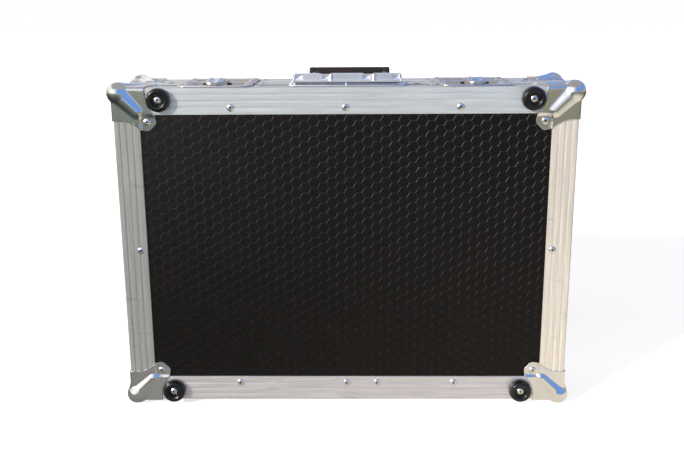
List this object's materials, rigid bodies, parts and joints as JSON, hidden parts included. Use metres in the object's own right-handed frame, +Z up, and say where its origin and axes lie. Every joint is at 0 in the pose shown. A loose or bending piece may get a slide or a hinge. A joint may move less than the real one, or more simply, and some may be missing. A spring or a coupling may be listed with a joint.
{
  "type": "flight case",
  "caption": "Shallow hard flight case for a lighting console: plywood shell in riveted aluminium angle, ball corners, rubber feet, recessed latches, sprung handle and foam bay.",
  "frame": {"origin": "under the middle of the closed case, on the plane of its lower ball corners", "axes": "+Z up through the handle, +X across the width, +Y from the base half with the rubber feet towards the lid"},
  "size_m": [0.5344, 0.1402, 0.4004],
  "materials": {
    "laminated_ply": "satin",
    "rail_aluminium": "satin",
    "corner_steel": "gloss",
    "zinc_steel": "satin",
    "foot_rubber": "satin",
    "grip_rubber": "matte",
    "case_foam": "matte"
  },
  "bodies": {
    "base": {"base_ball_corner_bottom_left": "corner_steel", "base_ball_corner_bottom_right": "corner_steel", "base_ball_corner_top_left": "corner_steel", "base_ball_corner_top_right": "corner_steel", "base_closing_profile": "rail_aluminium", "base_corner_angle_bottom_left": "rail_aluminium", "base_corner_angle_bottom_right": "rail_aluminium", "base_corner_angle_top_left": "rail_aluminium", "base_corner_angle_top_right": "rail_aluminium", "base_foam_tray": "case_foam", "base_panel": "laminated_ply", "base_rail_bottom": "rail_aluminium", "base_rail_left": "rail_aluminium", "base_rail_right": "rail_aluminium", "base_rail_top": "rail_aluminium", "base_walls": "laminated_ply", "foot_bottom_left": "foot_rubber", "foot_bottom_right": "foot_rubber", "foot_top_left": "foot_rubber", "foot_top_right": "foot_rubber", "handle_plate": "zinc_steel", "handle_spring": "zinc_steel", "latch_bottom_left_dish": "zinc_steel", "latch_bottom_right_dish": "zinc_steel", "latch_top_left_dish": "zinc_steel", "latch_top_right_dish": "zinc_steel"},
    "lid": {"latch_bottom_left_keeper": "zinc_steel", "latch_bottom_right_keeper": "zinc_steel", "latch_top_left_keeper": "zinc_steel", "latch_top_right_keeper": "zinc_steel", "lid_ball_corner_bottom_left": "corner_steel", "lid_ball_corner_bottom_right": "corner_steel", "lid_ball_corner_top_left": "corner_steel", "lid_ball_corner_top_right": "corner_steel", "lid_closing_profile": "rail_aluminium", "lid_corner_angle_bottom_left": "rail_aluminium", "lid_corner_angle_bottom_right": "rail_aluminium", "lid_corner_angle_top_left": "rail_aluminium", "lid_corner_angle_top_right": "rail_aluminium", "lid_foam_pad": "case_foam", "lid_panel": "laminated_ply", "lid_rail_bottom": "rail_aluminium", "lid_rail_left": "rail_aluminium", "lid_rail_right": "rail_aluminium", "lid_rail_top": "rail_aluminium", "lid_walls": "laminated_ply"},
    "handle": {"handle_bow": "zinc_steel", "handle_grip": "grip_rubber"},
    "latch_top_left_rotor": {"latch_top_left_rotor": "zinc_steel"},
    "latch_top_left_wing": {"latch_top_left_wing": "zinc_steel"},
    "latch_top_left_hook": {"latch_top_left_hook": "zinc_steel"},
    "latch_top_right_rotor": {"latch_top_right_rotor": "zinc_steel"},
    "latch_top_right_wing": {"latch_top_right_wing": "zinc_steel"},
    "latch_top_right_hook": {"latch_top_right_hook": "zinc_steel"},
    "latch_bottom_left_rotor": {"latch_bottom_left_rotor": "zinc_steel"},
    "latch_bottom_left_wing": {"latch_bottom_left_wing": "zinc_steel"},
    "latch_bottom_left_hook": {"latch_bottom_left_hook": "zinc_steel"},
    "latch_bottom_right_rotor": {"latch_bottom_right_rotor": "zinc_steel"},
    "latch_bottom_right_wing": {"latch_bottom_right_wing": "zinc_steel"},
    "latch_bottom_right_hook": {"latch_bottom_right_hook": "zinc_steel"}
  },
  "joints": [
    {"name": "lid_lift", "type": "slide", "parent": "base", "child": "lid", "axis": [0, 1, 0], "range_m": [0, 0.16]},
    {"name": "handle_swing", "type": "hinge", "parent": "base", "child": "handle", "pos_m": [0.002, -0.0361, 0.3902], "axis": [1, 0, 0], "range_deg": [0, 90], "stiffness_Nm_per_rad": 0.06, "springref_deg": -28.65},
    {"name": "latch_top_left_turn", "type": "hinge", "parent": "base", "child": "latch_top_left_rotor", "pos_m": [-0.148, -0.0231, 0.3854], "axis": [0, 0, 1], "range_deg": [0, 90]},
    {"name": "latch_top_left_fold", "type": "hinge", "parent": "latch_top_left_rotor", "child": "latch_top_left_wing", "pos_m": [-0.148, -0.0231, 0.3854], "axis": [-1, 0, 0], "range_deg": [0, 90]},
    {"name": "latch_top_left_draw", "type": "slide", "parent": "base", "child": "latch_top_left_hook", "axis": [0, 1, 0], "range_m": [0, 0.005]},
    {"name": "latch_top_right_turn", "type": "hinge", "parent": "base", "child": "latch_top_right_rotor", "pos_m": [0.148, -0.0231, 0.3854], "axis": [0, 0, -1], "range_deg": [0, 90]},
    {"name": "latch_top_right_fold", "type": "hinge", "parent": "latch_top_right_rotor", "child": "latch_top_right_wing", "pos_m": [0.148, -0.0231, 0.3854], "axis": [-1, 0, 0], "range_deg": [0, 90]},
    {"name": "latch_top_right_draw", "type": "slide", "parent": "base", "child": "latch_top_right_hook", "axis": [0, 1, 0], "range_m": [0, 0.005]},
    {"name": "latch_bottom_left_turn", "type": "hinge", "parent": "base", "child": "latch_bottom_left_rotor", "pos_m": [-0.148, -0.0231, 0.0025], "axis": [0, 0, 1], "range_deg": [0, 90]},
    {"name": "latch_bottom_left_fold", "type": "hinge", "parent": "latch_bottom_left_rotor", "child": "latch_bottom_left_wing", "pos_m": [-0.148, -0.0231, 0.0025], "axis": [1, 0, 0], "range_deg": [0, 90]},
    {"name": "latch_bottom_left_draw", "type": "slide", "parent": "base", "child": "latch_bottom_left_hook", "axis": [0, 1, 0], "range_m": [0, 0.005]},
    {"name": "latch_bottom_right_turn", "type": "hinge", "parent": "base", "child": "latch_bottom_right_rotor", "pos_m": [0.148, -0.0231, 0.0025], "axis": [0, 0, -1], "range_deg": [0, 90]},
    {"name": "latch_bottom_right_fold", "type": "hinge", "parent": "latch_bottom_right_rotor", "child": "latch_bottom_right_wing", "pos_m": [0.148, -0.0231, 0.0025], "axis": [1, 0, 0], "range_deg": [0, 90]},
    {"name": "latch_bottom_right_draw", "type": "slide", "parent": "base", "child": "latch_bottom_right_hook", "axis": [0, 1, 0], "range_m": [0, 0.005]}
  ],
  "couplings": [
    {"joint": "latch_top_left_draw", "follows": "latch_top_left_turn", "m_per_rad": 0.00318},
    {"joint": "latch_top_right_draw", "follows": "latch_top_right_turn", "m_per_rad": 0.00318},
    {"joint": "latch_bottom_left_draw", "follows": "latch_bottom_left_turn", "m_per_rad": 0.00318},
    {"joint": "latch_bottom_right_draw", "follows": "latch_bottom_right_turn", "m_per_rad": 0.00318}
  ]
}
